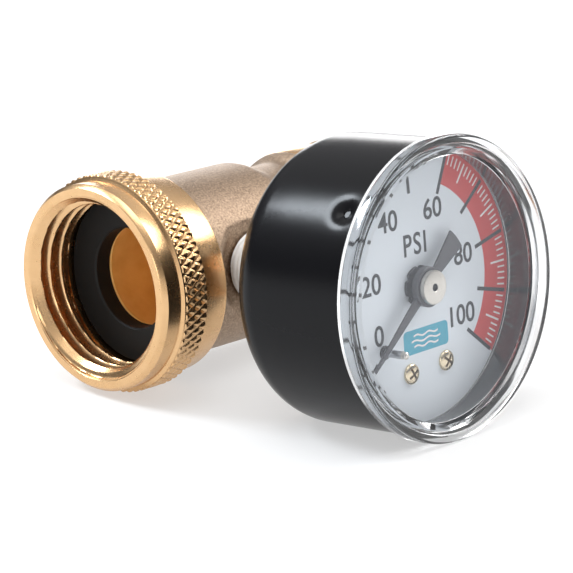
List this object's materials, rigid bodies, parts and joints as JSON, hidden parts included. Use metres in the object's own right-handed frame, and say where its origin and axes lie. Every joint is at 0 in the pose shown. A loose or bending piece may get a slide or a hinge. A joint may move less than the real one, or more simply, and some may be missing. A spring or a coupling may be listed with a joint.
{
  "type": "water pressure regulator",
  "caption": "Brass in-line water pressure regulator with a swivel hose nut inlet, a male hose thread outlet and a round dial pressure gauge on its side.",
  "frame": {"origin": "on the flow axis at the first full turn of the inlet nut's thread, 1.5 mm inside its mouth", "axes": "+X along the flow from inlet to outlet, -Y out of the gauge's dial, +Z to the top of the dial"},
  "size_m": [0.0618, 0.0668, 0.0434],
  "materials": {
    "machined_brass": "turned and polished",
    "cast_brass": "blasted casting",
    "bronze_tube": "drawn",
    "steel_wire": "drawn wire",
    "steel_screw": "bright",
    "nickel_cap": "satin nickel",
    "black_rubber": "matt",
    "white_tape": "wound tape",
    "black_case": "gloss paint",
    "clear_lens": "clear moulding",
    "dial_white": "printed satin paint",
    "dark_bushing": "satin",
    "pointer_black": "matt paint"
  },
  "bodies": {
    "housing": {"body": "cast_brass", "swivel_snap_ring": "steel_wire", "inlet_washer": "black_rubber", "seat_carrier": "machined_brass", "seat_disc": "black_rubber", "outlet_retainer": "machined_brass", "gauge_socket": "machined_brass", "thread_tape": "white_tape", "gauge_case": "black_case", "case_screws": "steel_screw", "lens": "clear_lens", "bourdon_tube": "bronze_tube", "movement_back_plate": "machined_brass", "movement_front_plate": "machined_brass", "plate_pillars": "machined_brass", "movement_screws": "steel_screw", "back_plate_screws": "steel_screw", "dial": "dial_white", "dial_posts": "machined_brass", "dial_screws": "machined_brass", "dial_bushing": "dark_bushing", "stop_pin": "machined_brass", "regulator_spring": "steel_wire"},
    "nut": {"swivel_nut": "machined_brass"},
    "piston": {"piston": "machined_brass", "stem_oring": "black_rubber", "head_oring": "black_rubber"},
    "pointer": {"pointer": "pointer_black", "pointer_cap": "nickel_cap", "pinion_shaft": "steel_screw", "hairspring": "bronze_tube"},
    "sector": {"sector_gear": "machined_brass"},
    "tube_tip": {"tube_tip": "machined_brass"},
    "link": {"link": "machined_brass"}
  },
  "joints": [
    {"name": "nut_spin", "type": "hinge", "parent": "housing", "child": "nut", "pos_m": [0.004, 0, 0], "axis": [1, 0, 0], "continuous": true},
    {"name": "piston_slide", "type": "slide", "parent": "housing", "child": "piston", "axis": [-1, 0, 0], "range_m": [0, 0.00115], "stiffness_N_per_m": 2000, "springref_m": -0.001, "deforming": ["regulator_spring"]},
    {"name": "pointer_turn", "type": "hinge", "parent": "housing", "child": "pointer", "pos_m": [0.021, -0.045, 0], "axis": [0, 1, 0], "range_deg": [0, 262], "stiffness_Nm_per_rad": 0.00004, "springref_deg": -34.38, "deforming": ["hairspring"]},
    {"name": "sector_turn", "type": "hinge", "parent": "housing", "child": "sector", "pos_m": [0.02949, -0.0375, -0.00018], "axis": [0, 1, 0], "range_deg": [-29.2, 0], "stiffness_Nm_per_rad": 0.0001, "springref_deg": 17.19},
    {"name": "tip_travel", "type": "hinge", "parent": "housing", "child": "tube_tip", "pos_m": [0.021, -0.031, -0.0155], "axis": [0, 1, 0], "range_deg": [-4.5, 0], "deforming": ["bourdon_tube"]},
    {"name": "link_swing", "type": "hinge", "parent": "tube_tip", "child": "link", "pos_m": [0.036, -0.03865, -0.004], "axis": [0, 1, 0], "range_deg": [0, 2]}
  ],
  "couplings": [
    {"joint": "sector_turn", "follows": "pointer_turn", "ratio": -0.11111},
    {"joint": "tip_travel", "follows": "pointer_turn", "ratio": -0.016794},
    {"joint": "link_swing", "follows": "pointer_turn", "ratio": 0.007176}
  ]
}
